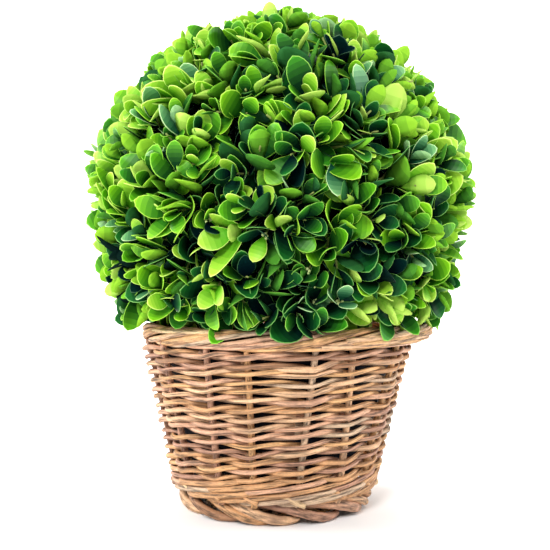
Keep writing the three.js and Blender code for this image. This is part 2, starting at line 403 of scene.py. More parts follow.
# ---------------------------------------------------------------------------------------------
# Wale: two courses of thicker willow rods at the foot of the side. Each rod comes out between two
# stakes, passes in front of the next two or three and goes in again, which holds the stakes firm.
# ---------------------------------------------------------------------------------------------
WALE_RADIUS = 1.42 * MM
WALE_SEATING = 0.7 * MM  # how much further in some of the strokes lie than others
WALE_RISE = 8.5 * MM
WALE_SPAN = 3.1  # the length of a stroke, in stakes
WALE_POINTS = 34


def wale_stroke(course, start, radius):
    """The visible stroke of one rod: out, past the stakes in front of it, and in again."""
    share = np.linspace(0, 1, WALE_POINTS)
    place = start + WALE_SPAN * share
    out = (STAKE_RADIUS + radius) * np.clip(2.6 * np.sin(math.pi * share) - 1, -1, 1)
    rise = (share - 0.5) * WALE_RISE
    z = wall_low.z + (course + 0.55) * WALE_PITCH + rise
    return on_wall(place, z, out)


wale_rods = []
for course in range(WALE_COURSES):
    for k in range(STAKES):
        radius = WALE_RADIUS * basket_rng.uniform(0.85, 1.1)
        seat = radius - basket_rng.uniform(0, WALE_SEATING)
        path = wale_stroke(course, k - 0.5 + 0.5 * course, seat)
        girth = radius * np.linspace(1.0, 0.9, len(path))
        wale_rods.append((path, girth, any_tone()))
finished(rod_piece("foot_wale", wale_rods, willow_materials, 10), "willow_rods", "side_weave")


# ---------------------------------------------------------------------------------------------
# Stake ends: the lower ends of the stakes, which come out through the wale and are cut off short,
# slanting down to the right. Every third one shows the pale wood of a fresh cut.
# ---------------------------------------------------------------------------------------------
stake_feet = []
for k in range(STAKES):
    share = np.linspace(0, 1, 9)
    reach = basket_rng.uniform(0.35, 0.6)
    drop = basket_rng.uniform(3, 6) * MM
    place = k - reach * 0.8 + reach * share
    z = wall_low.z + basket_rng.uniform(3.5, 8) * MM - drop * share
    stand = STAKE_RADIUS + basket_rng.uniform(1.0, 2.3) * MM
    out = stand * np.sin(math.pi * (0.02 + 0.48 * share))
    girth = basket_rng.uniform(1.2, 1.6) * MM
    stake_feet.append((on_wall(place, z, out), girth, CUT_END if k % 3 == 0 else any_tone()))
finished(rod_piece("stake_ends", stake_feet, willow_materials, 10), "willow_rods", "side_weave")


# ---------------------------------------------------------------------------------------------
# Foot border: sixteen thick rods rolled round under the wall like a rope. Each comes out at the
# top, crosses the outside slanting down to the right, and tucks in under the next.
# ---------------------------------------------------------------------------------------------
def rolled_rod(low, high, depth, start, span, roll_from, roll_to, radius, steps):
    """A rod that winds along a border ring: angle round the ring, and roll round its section."""
    share = np.linspace(0, 1, steps)
    turn = start + span * share
    roll = roll_from + (roll_to - roll_from) * share
    outer = (high.y - low.y) / 2
    middle_x = (low.x + high.x) / 2
    middle_z = (low.z + high.z) / 2
    out = outer - depth / 2 + (depth / 2 - radius) * np.cos(roll)
    z = middle_z + ((high.z - low.z) / 2 - radius) * np.sin(roll)
    return np.stack([out * np.cos(turn) + middle_x, out * np.sin(turn), z], axis=-1)


STAKE_STEP = 2 * math.pi / STAKES
FOOT_DEPTH = 11.6 * MM
FOOT_ROD_RADIUS = 2.4 * MM
FOOT_ROLL = math.radians(130), math.radians(-120)
FOOT_POINTS = 30
FOOT_TONES = [0.16, 0.12, 0.12, 0.2, 0.22, 0.04, 0.14]
foot_rods = []
for k in range(STAKES):
    radius = FOOT_ROD_RADIUS * basket_rng.uniform(0.8, 1.08)
    start = turns_at_foot[k] + basket_rng.normal(0, 0.05)
    span = STAKE_STEP * basket_rng.uniform(2.3, 2.8)
    path = rolled_rod(
        foot_low, foot_high, FOOT_DEPTH, start, span, *FOOT_ROLL, radius, FOOT_POINTS
    )
    share = np.linspace(0, 1, FOOT_POINTS)
    girth = radius * (1 - 0.35 * np.abs(2 * share - 1) ** 3)
    girth *= 1 + 0.04 * np.sin(share * 40 + 5 * k)
    foot_rods.append((path, girth, any_tone(FOOT_TONES)))
finished(rod_piece("foot_rods", foot_rods, willow_materials, 12), "willow_base", "foot_border")


# ---------------------------------------------------------------------------------------------
# Woven base: eight split sticks laid across each other, with rounds of thin paired rods woven
# over and under them out to the foot border. It is what shows when the basket is turned over.
# ---------------------------------------------------------------------------------------------
base_low, base_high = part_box("woven_base")
base_radius = (base_high.y - base_low.y) / 2
base_middle = (base_low.z + base_high.z) / 2
BASE_STICK_RADIUS = 1.5 * MM
ROUND_PITCH = 2.5 * MM
ROUND_ROD_RADIUS = 0.85 * MM
ROUND_SWING = 0.55 * MM
FIRST_ROUND = 8.5 * MM  # the radius of the innermost round
BARE_MARGIN = 9 * MM  # the middle and the edge, which the rounds leave bare
BASE_STICKS = 8

base_rods = []
for k in range(BASE_STICKS):
    turn = math.pi * k / BASE_STICKS
    reach = np.linspace(-1, 1, 21) * (base_radius - 0.5 * MM)
    bow = (0.5 if k % 2 else -0.5) * BASE_STICK_RADIUS * np.exp(-((reach / (6 * MM)) ** 2))
    path = np.stack([reach * math.cos(turn), reach * math.sin(turn), base_middle + bow], axis=-1)
    base_rods.append((path, BASE_STICK_RADIUS, any_tone()))
rounds = int((base_radius - BARE_MARGIN) / ROUND_PITCH)
for ring in range(rounds):
    for strand in (0, 1):
        place = np.linspace(0, 2 * BASE_STICKS, 2 * BASE_STICKS * 8 + 1)
        swing = math.pi * (place + strand)
        turn = math.pi * place / BASE_STICKS
        reach = FIRST_ROUND + ring * ROUND_PITCH + ROUND_SWING * np.sin(swing)
        z = base_middle + (BASE_STICK_RADIUS + ROUND_ROD_RADIUS) * np.cos(swing)
        path = np.stack([reach * np.cos(turn), reach * np.sin(turn), z], axis=-1)
        base_rods.append((path, ROUND_ROD_RADIUS, any_tone()))
finished(rod_piece("base_weave", base_rods, willow_materials, 8), "willow_base", "woven_base")


# ---------------------------------------------------------------------------------------------
# Rim border: the stakes' upper ends, two at each stake, laid down one over the next and led
# round the edge. They show as long strips that rise gently to the right, with a few cut ends
# between them and a few loose ends on the side that the border was worked towards.
# ---------------------------------------------------------------------------------------------
RIM_DEPTH = 10.6 * MM
RIM_ROD_RADIUS = 1.36 * MM
RIM_SEATING = 0.8 * MM  # some rods lie this much deeper in the border than others
RIM_TONES = [0.3, 0.26, 0.2, 0.03, 0.16, 0.05, 0.0]
RIM_POINTS = 46
RIM_ROLL_START = math.radians(-118)
CUT_STRIP_RADIUS = 0.95 * MM
LOOSE_ENDS = 5
LOOSE_POINTS = 24
SPRINGING = 4.6 * MM  # how far the highest loose end stands off
SPRINGING_STEP = 0.5 * MM  # and how much less each next one does
rim_rods = []
for k in range(2 * STAKES):
    radius = RIM_ROD_RADIUS * basket_rng.uniform(0.85, 1.12)
    start = turns_at_tip[k // 2] + (k % 2) * STAKE_STEP / 2 + basket_rng.normal(0, 0.05)
    span = STAKE_STEP * basket_rng.uniform(3.0, 3.9)
    roll = RIM_ROLL_START, math.radians(basket_rng.uniform(150, 175))
    seat = radius + basket_rng.uniform(0, RIM_SEATING)
    path = rolled_rod(rim_low, rim_high, RIM_DEPTH, start, span, *roll, seat, RIM_POINTS)
    girth = radius * np.linspace(1.1, 0.75, RIM_POINTS)
    rim_rods.append((path, girth, any_tone(RIM_TONES)))
for k in range(0, STAKES, 3):
    start = turns_at_tip[k] + basket_rng.normal(0, 0.1)
    reach = STAKE_STEP * basket_rng.uniform(0.9, 1.8)
    roll = math.radians(basket_rng.uniform(-50, 50))
    path = rolled_rod(rim_low, rim_high, RIM_DEPTH, start, reach, roll - 0.35, roll, 1.1 * MM, 20)
    rim_rods.append((path, CUT_STRIP_RADIUS, CUT_END))
for k in range(LOOSE_ENDS):
    end = math.radians(10 - 7 * k)
    span = STAKE_STEP * basket_rng.uniform(2.4, 3.2)
    roll = math.radians(60 - 22 * k)
    path = rolled_rod(
        rim_low, rim_high, RIM_DEPTH, end - span, span, roll - 0.7, roll, 1.3 * MM, LOOSE_POINTS
    )
    share = np.linspace(0, 1, LOOSE_POINTS)
    turn = end - span * (1 - share)
    spring = (SPRINGING - SPRINGING_STEP * k) * share**3
    path[:, 0] += spring * np.cos(turn)
    path[:, 1] += spring * np.sin(turn)
    girth = RIM_ROD_RADIUS * np.linspace(1.0, 0.7, LOOSE_POINTS)
    rim_rods.append((path, girth, any_tone()))
finished(rod_piece("rim_rods", rim_rods, willow_materials, 10), "willow_rods", "rim_border")


# ---------------------------------------------------------------------------------------------
# Liner: a thin dark plastic film inside the weave. It shows as blue-black between the rods. It is
# one spun wall with a folded bottom, creased a little where it was pushed into the basket.
# ---------------------------------------------------------------------------------------------
def surface_grain():
    """Mottled colour and relief for film, fibre and bark, on the piece's own coordinates."""
    tree, given, made = shader_group(
        "surface_grain",
        [("Colour", "Color"), ("Second", "Color"), ("Stretch", "Vector"), ("Gloss", "Float")],
        [("Colour", "Color"), ("Roughness", "Float"), ("Height", "Float")],
    )
    place = tree.nodes.new("ShaderNodeTexCoord")
    scaled = tree.nodes.new("ShaderNodeVectorMath")
    scaled.operation = "MULTIPLY"
    tree.links.new(place.outputs["Object"], scaled.inputs[0])
    tree.links.new(given.outputs["Stretch"], scaled.inputs[1])
    mottle = noise_node(tree, scaled.outputs["Vector"], 1.0, 5, 0.6)
    mottled_share = range_node(tree, mottle, 0.38, 0.64)
    colour = mix_node(tree, mottled_share, given.outputs["Colour"], given.outputs["Second"])
    tree.links.new(colour, made.inputs["Colour"])
    rough = tree.nodes.new("ShaderNodeMath")
    rough.operation = "MULTIPLY_ADD"
    rough.inputs[1].default_value = 0.25
    tree.links.new(mottle, rough.inputs[0])
    tree.links.new(given.outputs["Gloss"], rough.inputs[2])
    tree.links.new(rough.outputs["Value"], made.inputs["Roughness"])
    tree.links.new(mottle, made.inputs["Height"])
    return tree


mottled = surface_grain()
film_material = patterned(
    "liner_film",
    mottled,
    {
        "Colour": linear(10, 12, 20),
        "Second": linear(24, 28, 42),
        "Stretch": (160, 160, 60),
        "Gloss": 0.35,
    },
    relief=0.5,
    depth=0.4 * MM,
    specular=0.12,
)

liner_low, liner_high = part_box("liner")
LINER_WALL = 1 * MM
LINER_CREASES = 0.35 * MM


def spun(name, profile, steps, material):
    """A new piece, and its closed shape spun round the upright from (radius, height) points."""
    shape = bmesh.new()
    points = [shape.verts.new((radius, 0, z)) for radius, z in profile]
    for first, second in zip(points, points[1:]):
        shape.edges.new((first, second))
    bmesh.ops.spin(
        shape,
        geom=shape.verts[:] + shape.edges[:],
        cent=(0, 0, 0),
        axis=(0, 0, 1),
        angle=2 * math.pi,
        steps=steps,
        use_merge=True,
    )
    bmesh.ops.remove_doubles(shape, verts=shape.verts, dist=1e-6)
    bmesh.ops.recalc_face_normals(shape, faces=shape.faces)
    for face in shape.faces:
        face.smooth = True
    mesh = bpy.data.meshes.new(name)
    mesh.materials.append(material)
    piece = bpy.data.objects.new(name, mesh)
    bpy.context.scene.collection.objects.link(piece)
    return piece, shape


def close_shape(piece, shape):
    """Writes a finished shape to its piece."""
    shape.to_mesh(piece.data)
    shape.free()


liner_foot = foot_radius - 8.2 * MM
liner_waist = foot_radius - 6.2 * MM
liner_tip = (liner_high.y - liner_low.y) / 2 + 0.3 * MM
liner_shoulder = liner_low.z + 6 * MM
liner_side = [
    (
        liner_waist + (liner_tip - liner_waist) * share,
        liner_shoulder + (liner_high.z - liner_shoulder) * share,
    )
    for share in (0.0, 0.2, 0.4, 0.6, 0.8, 1.0)
]
liner_piece, liner_shape = spun(
    "liner_film",
    [
        (0, liner_low.z),
        (liner_foot - 3 * MM, liner_low.z),
        (liner_foot, liner_low.z + 3 * MM),
        *liner_side,
        (liner_tip - LINER_WALL, liner_high.z),
        (liner_waist - LINER_WALL, liner_shoulder),
        (liner_foot - 4 * MM, liner_low.z + LINER_WALL),
        (0, liner_low.z + LINER_WALL),
    ],
    96,
    film_material,
)
for v in liner_shape.verts:
    turn = math.atan2(v.co.y, v.co.x)
    crease = math.sin(23 * turn + 130 * v.co.z) * math.sin(9 * turn)
    share = min(1.0, math.hypot(v.co.x, v.co.y) / liner_foot)
    v.co.x += LINER_CREASES * share * crease * math.cos(turn) + lean * v.co.z
    v.co.y += LINER_CREASES * share * crease * math.sin(turn)
close_shape(liner_piece, liner_shape)
finished(liner_piece, "liner_film", "liner")


# ---------------------------------------------------------------------------------------------
# Potting fill: coarse brown fibre packed into the liner, up to a rough mound that is highest in
# the middle, where the stem stands in it.
# ---------------------------------------------------------------------------------------------
fill_low, fill_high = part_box("potting_fill")
fill_radius = liner_tip - LINER_WALL - 0.6 * MM
MOUND_ROUGHNESS = 1.2 * MM
fill_material = patterned(
    "potting_fibre",
    mottled,
    {
        "Colour": linear(78, 60, 42),
        "Second": linear(36, 27, 20),
        "Stretch": (420, 420, 420),
        "Gloss": 0.75,
    },
    relief=1.0,
    depth=1.2 * MM,
)
mound_top = [
    (fill_radius * share, fill_high.z - (3 - 2.4 * (1 - share)) * MM)
    for share in (0.9, 0.75, 0.6, 0.45, 0.3, 0.15)
]
fill_piece, fill_shape = spun(
    "potting_mound",
    [
        (0, fill_low.z + 1 * MM),
        (liner_foot - 6 * MM, fill_low.z + 1 * MM),
        (fill_radius, fill_high.z - 4 * MM),
        *mound_top,
        (0, fill_high.z - 0.6 * MM),
    ],
    72,
    fill_material,
)
for v in fill_shape.verts:
    v.co.x += lean * v.co.z
    if v.co.z > fill_high.z - 3.5 * MM:
        v.co.z += MOUND_ROUGHNESS * (noise.noise(v.co * 160) - 0.3)
close_shape(fill_piece, fill_shape)
finished(fill_piece, "potting_fibre", "potting_fill")


# ---------------------------------------------------------------------------------------------
# Loose fibres: strands of the same fibre that lie bent on the fill every way, dark, brown and
# straw coloured. A few show in the gap between the rim and the lowest leaves.
# ---------------------------------------------------------------------------------------------
FIBRES = 520
FIBRE_TONES = {"dark": (70, 52, 36), "brown": (112, 86, 58), "straw": (158, 132, 96)}
fibre_materials = [
    patterned(
        f"fibre_{tone}",
        mottled,
        {
            "Colour": linear(*chart),
            "Second": linear(*(np.array(chart) * 0.6)),
            "Stretch": (500, 500, 500),
            "Gloss": 0.7,
        },
        relief=0.3,
        depth=0.1 * MM,
    )
    for tone, chart in FIBRE_TONES.items()
]
fibres = []
for _ in range(FIBRES):
    turn = basket_rng.uniform(0, 2 * math.pi)
    reach = fill_radius * math.sqrt(basket_rng.uniform(0.12, 0.97))
    way = basket_rng.uniform(0, 2 * math.pi)
    half = basket_rng.uniform(5, 13) * MM
    share = np.linspace(-1, 1, 7)
    bend = basket_rng.normal(0, 0.35)
    across = half * bend * (share**2 - 0.5)
    x = reach * math.cos(turn) + half * share * math.cos(way) - across * math.sin(way)
    y = reach * math.sin(turn) + half * share * math.sin(way) + across * math.cos(way)
    limit = np.minimum(1, (fill_radius - 0.5 * MM) / np.maximum(np.hypot(x, y), 1e-6))
    z = fill_high.z + basket_rng.uniform(-1.2, 0.4) * MM + 1.1 * MM * np.cos(1.5 * share)
    path = np.stack([x * limit + lean * fill_high.z, y * limit, z], axis=-1)
    girth = basket_rng.uniform(0.16, 0.4) * MM
    fibres.append((path, girth, basket_rng.integers(0, len(FIBRE_TONES))))
finished(rod_piece("fill_fibres", fibres, fibre_materials, 4), "potting_fibre", "potting_fill")


# ---------------------------------------------------------------------------------------------
# Stem: the short hidden stem of the box plant, from its flat cut on the fill to its fork inside
# the leaves, with a root flare and the shallow ridges of box bark.
# ---------------------------------------------------------------------------------------------
stem_low, stem_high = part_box("stem")
STEM_RIDGES = 0.5 * MM
STEM_LEAN = 0.02  # how far it leans to the right, as a share of its height
FLARE_HEIGHT = 0.23  # the share of the height over which the foot flares out
bark_material = patterned(
    "box_bark",
    mottled,
    {
        "Colour": linear(142, 124, 92),
        "Second": linear(84, 70, 50),
        "Stretch": (420, 420, 110),
        "Gloss": 0.6,
    },
    relief=0.8,
    depth=0.5 * MM,
)
stem_foot = Vector(((stem_low.x + stem_high.x) / 2, 0, stem_low.z))
stem_height = stem_high.z - stem_low.z
stem_girth = (stem_high.y - stem_low.y) / 2
stem_shape = bmesh.new()
bmesh.ops.create_cone(
    stem_shape,
    cap_ends=True,
    segments=28,
    radius1=1.0,
    radius2=1.0,
    depth=1.0,
)
uprights = [e for e in stem_shape.edges if abs(e.verts[0].co.z - e.verts[1].co.z) > 0.5]
bmesh.ops.subdivide_edges(stem_shape, edges=uprights, cuts=22)
for v in stem_shape.verts:
    share = v.co.z + 0.5
    turn = math.atan2(v.co.y, v.co.x)
    flare = max(0.0, 1 - share / FLARE_HEIGHT) ** 2
    girth = stem_girth * (0.66 - 0.17 * share + 0.3 * flare)
    ridge = noise.noise(Vector((3 * math.cos(turn), 3 * math.sin(turn), 5 * share)))
    lobes = 0.05 * flare * math.sin(5 * turn)
    radius = girth * (1 + lobes) + (STEM_RIDGES * ridge if share > 0 else 0)
    v.co.x = stem_foot.x + radius * math.cos(turn) + STEM_LEAN * stem_height * share
    v.co.y = radius * math.sin(turn)
    v.co.z = stem_foot.z + stem_height * share
for face in stem_shape.faces:
    face.smooth = len(face.verts) <= 4
stem_mesh = bpy.data.meshes.new("stem_bark")
stem_mesh.materials.append(bark_material)
stem_piece = bpy.data.objects.new("stem_bark", stem_mesh)
bpy.context.scene.collection.objects.link(stem_piece)
close_shape(stem_piece, stem_shape)
finished(stem_piece, "box_bark", "stem")


# ---------------------------------------------------------------------------------------------
# Boughs: the limbs that leave the upper part of the stem every way and bend out into the clipped
# ball. Each is bare box wood, thinner towards its end, where it forks into twigs.
# ---------------------------------------------------------------------------------------------
plant_rng = np.random.default_rng(38)
ball_low, ball_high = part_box("leaf_ball")
BALL_MIDDLE_Z = 155 * MM
ball_middle = Vector(
    ((ball_low.x + ball_high.x) / 2, (ball_low.y + ball_high.y) / 2, BALL_MIDDLE_Z)
)
ball_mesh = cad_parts["leaf_ball"].data
ball_outline = BVHTree.FromPolygons(
    [v.co.copy() for v in ball_mesh.vertices],
    [tuple(p.vertices) for p in ball_mesh.polygons],
)
BOUGHS = 20
BOUGH_REACH = 0.4  # how far a bough goes towards the clipped outline
LOWEST_BOUGH = -0.55  # the slope of the lowest, where 1 is straight up


def spread_directions(count, highest, lowest, jitter):
    """Evenly spread directions between two slopes, 1 being straight up, each a little astray."""
    found = []
    for i in range(count):
        rise = highest - (highest - lowest) * (i + 0.5) / count
        turn = i * math.pi * (3 - math.sqrt(5))
        flat = math.sqrt(1 - rise * rise)
        way = Vector((flat * math.cos(turn), flat * math.sin(turn), rise))
        way += Vector(plant_rng.normal(0, jitter, 3))
        found.append(way.normalized())
    return found


def reach_of(way):
    """How far the clipped outline lies from the ball's middle in a direction."""
    return ball_outline.ray_cast(ball_middle, way)[3]


def nearest(way, others):
    """The number of the direction closest to this one."""
    return max(range(len(others)), key=lambda i: way.dot(others[i]))


def limb(start, leave, end, steps):
    """A limb's points: it leaves along its parent, then bends to its end."""
    hold = start + leave * ((end - start).length * 0.45)
    share = np.linspace(0, 1, steps)[:, None]
    first, second, third = (np.array(p) for p in (start, hold, end))
    return first * (1 - share) ** 2 + second * 2 * share * (1 - share) + third * share**2


def heading(points):
    """The direction in which a limb ends."""
    return Vector(points[-1] - points[-2]).normalized()


bough_ways = spread_directions(BOUGHS, 1, LOWEST_BOUGH, 0.06)
bough_limbs = []
for way in bough_ways:
    up_stem = 0.62 + 0.36 * (way.z - LOWEST_BOUGH) / (1 - LOWEST_BOUGH)
    height = stem_low.z + stem_height * up_stem
    start = Vector((stem_foot.x + STEM_LEAN * (height - stem_low.z), 0, height))
    end = ball_middle + way * reach_of(way) * BOUGH_REACH
    bough_limbs.append(limb(start, (Vector((0, 0, 0.7)) + way).normalized(), end, 10))
bough_rods = [(points, np.linspace(2.3, 1.5, len(points)) * MM, 0) for points in bough_limbs]
finished(rod_piece("boughs", bough_rods, [bark_material], 8), "box_bark", "leaf_ball")


# ---------------------------------------------------------------------------------------------
# Twigs and shoots: each twig grows from its nearest bough, and each leafy shoot from its nearest
# twig. The shoots stop about half a leaf's length short of the clipped outline, and are green and
# thin. Extra rows of shoots make the skirt that hangs over the rim.
# ---------------------------------------------------------------------------------------------
TWIGS = 100
SHOOTS = 460
SKIRT_SHOOTS = 84

twig_ways = spread_directions(TWIGS, 1, -0.72, 0.05)
twig_limbs = []
for way in twig_ways:
    parent = bough_limbs[nearest(way, bough_ways)]
    end = ball_middle + way * reach_of(way) * plant_rng.uniform(0.6, 0.66)
    twig_limbs.append(limb(Vector(parent[-1]), heading(parent), end, 9))

shoot_ways = spread_directions(SHOOTS, 1, -0.5, 0.035)
shoot_ways += spread_directions(SKIRT_SHOOTS, -0.42, -0.6, 0.02)
shoot_ways += spread_directions(SKIRT_SHOOTS // 2, -0.6, -0.8, 0.03)
shoot_limbs = []
for way in shoot_ways:
    parent = twig_limbs[nearest(way, twig_ways)]
    inset = plant_rng.normal(11, 2.4) * MM
    end = ball_middle + way * (reach_of(way) - inset)
    shoot_limbs.append(limb(Vector(parent[-1]), heading(parent), end, 9))

young_bark = patterned(
    "box_young_bark",
    mottled,
    {
        "Colour": linear(150, 164, 84),
        "Second": linear(104, 114, 58),
        "Stretch": (500, 500, 500),
        "Gloss": 0.5,
    },
    relief=0.3,
    depth=0.2 * MM,
)
twig_rods = [(points, np.linspace(1.4, 0.9, len(points)) * MM, 0) for points in twig_limbs]
twig_rods += [(points, np.linspace(0.8, 0.45, len(points)) * MM, 1) for points in shoot_limbs]
finished(rod_piece("twigs", twig_rods, [bark_material, young_bark], 6), "box_bark", "leaf_ball")


# ---------------------------------------------------------------------------------------------
# Leaves: small leathery box leaves in opposite pairs, each pair crossing the one below it. One
# blade is shaped, with its pale margin and its underside, and is set out along every shoot with
# its own length, width, fold and curl. The leaves of a tone are joined, up to 1500 in a piece.
# ---------------------------------------------------------------------------------------------
LEAF_ROWS = 8
LEAF_COLUMNS = 3
ROW_CROWDING = 1.35  # rows lie closer together towards the rounded tip
LEAF_THICKNESS = 0.45 * MM
LEAF_MARGIN = 0.016  # the pale edge, as a share of the leaf's length
LEAF_HALF_WIDTH = 0.275
WIDEST = 0.6  # the share of its length at which a box leaf is widest
FOOT_BLUNTNESS = 0.85  # 1 for a pointed end, and less for a blunter one
TIP_BLUNTNESS = 0.58
LEAF_BANDS = LEAF_ROWS  # steps of colour from the leaf's foot to its tip, painted shade that darkens each leaf towards its foot
UNDER_BANDS = 4  # and fewer on its underside
MARGIN, UNDERSIDE = LEAF_BANDS, LEAF_BANDS + 1


def leaf_half_width(share):
    """A spoon-shaped outline: half the width at a share of the length, 1 where it is widest."""
    if not 0.001 < share < 0.999:
        return 0.0
    along = share ** (math.log(0.5) / math.log(WIDEST))
    bluntness = FOOT_BLUNTNESS if along < 0.5 else TIP_BLUNTNESS
    return math.sin(math.pi * along) ** bluntness


def leaf_blade():
    """The blade as a bmesh: x across, y along from 0 to 1, z its thickness from -1 to 1."""
    shape = bmesh.new()
    sides = []
    for _ in range(2):
        made = bmesh.ops.create_grid(
            shape,
            x_segments=LEAF_COLUMNS,
            y_segments=LEAF_ROWS,
            size=1.0,
        )
        for v in made["verts"]:
            share = 1 - ((1 - v.co.y) / 2) ** ROW_CROWDING
            inner = abs(v.co.x) < 0.9 and 0.01 < share < 0.99
            v.co.x *= LEAF_HALF_WIDTH * leaf_half_width(share)
            v.co.y = share
            v.co.z = -1.0 if inner and sides else 0.0
        sides.append({f for v in made["verts"] for f in v.link_faces})
    upper, lower = sides
    bmesh.ops.reverse_faces(shape, faces=list(lower))
    ends = {v for f in upper for v in f.verts}
    bmesh.ops.remove_doubles(shape, verts=list(ends), dist=1e-5)
    upper = [f for f in shape.faces if f not in lower]
    margin = bmesh.ops.inset_region(
        shape,
        faces=upper,
        thickness=LEAF_MARGIN,
        use_boundary=True,
        use_even_offset=False,
    )
    for v in {v for f in upper for v in f.verts}:
        v.co.z = 1.0
    for face in shape.faces:
        share = face.calc_center_median().y
        face.material_index = UNDERSIDE + min(UNDER_BANDS - 1, int(share * UNDER_BANDS))
    # the upper faces get bands from foot to tip, for the painted shade that darkens each leaf
    # towards its foot
    for face in upper:
        step = 1 - (1 - face.calc_center_median().y) ** (1 / ROW_CROWDING)
        face.material_index = min(LEAF_BANDS - 1, int(step * LEAF_BANDS))
    for face in margin["faces"]:
        face.material_index = MARGIN
    bmesh.ops.remove_doubles(shape, verts=shape.verts, dist=1e-4)
    return shape


blade = leaf_blade()
blade.verts.index_update()
blade_points = np.array([v.co[:] for v in blade.verts])
blade_faces = [[v.index for v in f.verts] for f in blade.faces]
blade_parts = np.array([f.material_index for f in blade.faces])
blade.free()


def leaf_points(leaves):
    """Every leaf's points, from arrays of the leaves' places, directions and sizes."""
    across, along, thick = blade_points.T
    length = leaves["length"][:, None]
    broad = across / LEAF_HALF_WIDTH
    side = length * leaves["broad"][:, None] * across
    cup = leaves["cup"][:, None] * length * LEAF_HALF_WIDTH * broad**2
    bow = leaves["curl"][:, None] * length * along**2
    up = cup + bow + thick * LEAF_THICKNESS / 2
    reach = length * along
    sideways = np.cross(leaves["along"], leaves["normal"])
    return (
        leaves["base"][:, None, :]
        + side[..., None] * sideways[:, None, :]
        + reach[..., None] * leaves["along"][:, None, :]
        + up[..., None] * leaves["normal"][:, None, :]
    )


def joined_leaves(name, leaves, materials):
    """One mesh of many leaves."""
    places = leaf_points(leaves)
    count, points = places.shape[:2]
    sizes = np.array([len(f) for f in blade_faces])
    corners = np.concatenate(blade_faces)
    mesh = bpy.data.meshes.new(name)
    mesh.vertices.add(count * points)
    mesh.vertices.foreach_set("co", places.ravel())
    mesh.loops.add(count * len(corners))
    starts = np.arange(count)[:, None] * points
    mesh.loops.foreach_set("vertex_index", (corners[None, :] + starts).ravel())
    mesh.polygons.add(count * len(sizes))
    mesh.polygons.foreach_set("loop_start", np.r_[0, np.cumsum(np.tile(sizes, count))[:-1]])
    for material in materials:
        mesh.materials.append(material)
    mesh.polygons.foreach_set("material_index", np.tile(blade_parts, count))
    mesh.polygons.foreach_set("use_smooth", np.ones(count * len(sizes), bool))
    mesh.update(calc_edges=True)
    mesh.validate()
    piece = bpy.data.objects.new(name, mesh)
    bpy.context.scene.collection.objects.link(piece)
    return piece


# the colours of each tone's tip, foot, margin and underside; the dark foot colour is painted shade,
# for the shade at each leaf's base among the other leaves
LEAF_TONES = {
    # the shade tone is painted shade: near-black leaves for the dark inside of the ball
    "shade": ((6, 36, 30), (1, 9, 18), (44, 84, 50), (8, 32, 28)),
    "deep": ((26, 106, 32), (1, 16, 26), (112, 172, 82), (40, 96, 44)),
    "dark": ((60, 152, 20), (2, 27, 26), (138, 196, 76), (72, 136, 42)),
    "middle": ((100, 186, 14), (5, 44, 24), (150, 212, 70), (110, 174, 44)),
    "fresh": ((142, 212, 24), (18, 82, 22), (178, 228, 76), (146, 202, 52)),
    "young": ((186, 226, 70), (70, 148, 20), (208, 238, 116), (182, 218, 94)),
    # painted sheen: a pale grey-green that stands for the gloss of the bright surround on the
    # leaves, and for the paler look of leaves that show their undersides
    "silvery": ((136, 196, 124), (12, 64, 44), (196, 230, 164), (150, 196, 132)),
}
TONE_NAMES = list(LEAF_TONES)
DEEP = TONE_NAMES.index("deep")
TIP_SHARE = 1.35  # above 1, the colour of the foot reaches further up the leaf; that dark foot is painted shade
SHEEN_OF_DARK = {"shade": 0.0, "deep": 0.35, "dark": 0.7}  # the darkest leaves shine least


def between(first, second, share):
    """A colour, or a set of shares, on the way from one to another."""
    return tuple(a + (b - a) * share for a, b in zip(first, second))


def leaf_material(name, chart, roughness, sheen):
    """A plain leathery green with a soft gloss."""
    material, _, shader = principled(name)
    shader.inputs["Base Color"].default_value = linear(*chart)
    shader.inputs["Roughness"].default_value = roughness
    shader.inputs["Specular IOR Level"].default_value = sheen
    return material


def leaf_materials(tone):
    """A tone's materials: its bands from the dark foot to the tip, painted shade, its margin, and
    its underside, also darkened towards the foot with painted shade.
    """
    tip, foot, margin, underside = LEAF_TONES[tone]
    made = []
    for band in range(LEAF_BANDS):
        share = (band / (LEAF_BANDS - 1)) ** TIP_SHARE
        chart = between(foot, tip, share)
        sheen = (0.02 + 0.28 * share) * SHEEN_OF_DARK.get(tone, 1.0)
        made.append(leaf_material(f"leaf_{tone}_{band + 1}", chart, 0.42, sheen))
    made.append(leaf_material(f"leaf_{tone}_margin", margin, 0.55, 0.2))
    for band in range(UNDER_BANDS):
        # the underside is mixed with the dark foot colour too, painted shade towards the foot
        chart = between(foot, underside, 0.55 + 0.45 * band / (UNDER_BANDS - 1))
        made.append(leaf_material(f"leaf_{tone}_under_{band + 1}", chart, 0.65, 0.04))
    return made


rim_middle_x = (rim_low.x + rim_high.x) / 2
rim_outer = (rim_high.y - rim_low.y) / 2
CLEARANCE = 1.2 * MM
HANG = 9 * MM  # how far leaves may hang past the top of the rim


def in_basket(point):
    """True where a leaf would cut into the rim or the fill."""
    reach = math.hypot(point.x - rim_middle_x, point.y)
    if reach > rim_outer + CLEARANCE:
        return point.z < rim_high.z - HANG
    over_rim = reach > rim_outer - RIM_DEPTH - CLEARANCE
    return point.z < (rim_high.z + 0.2 * MM if over_rim else fill_high.z + CLEARANCE)


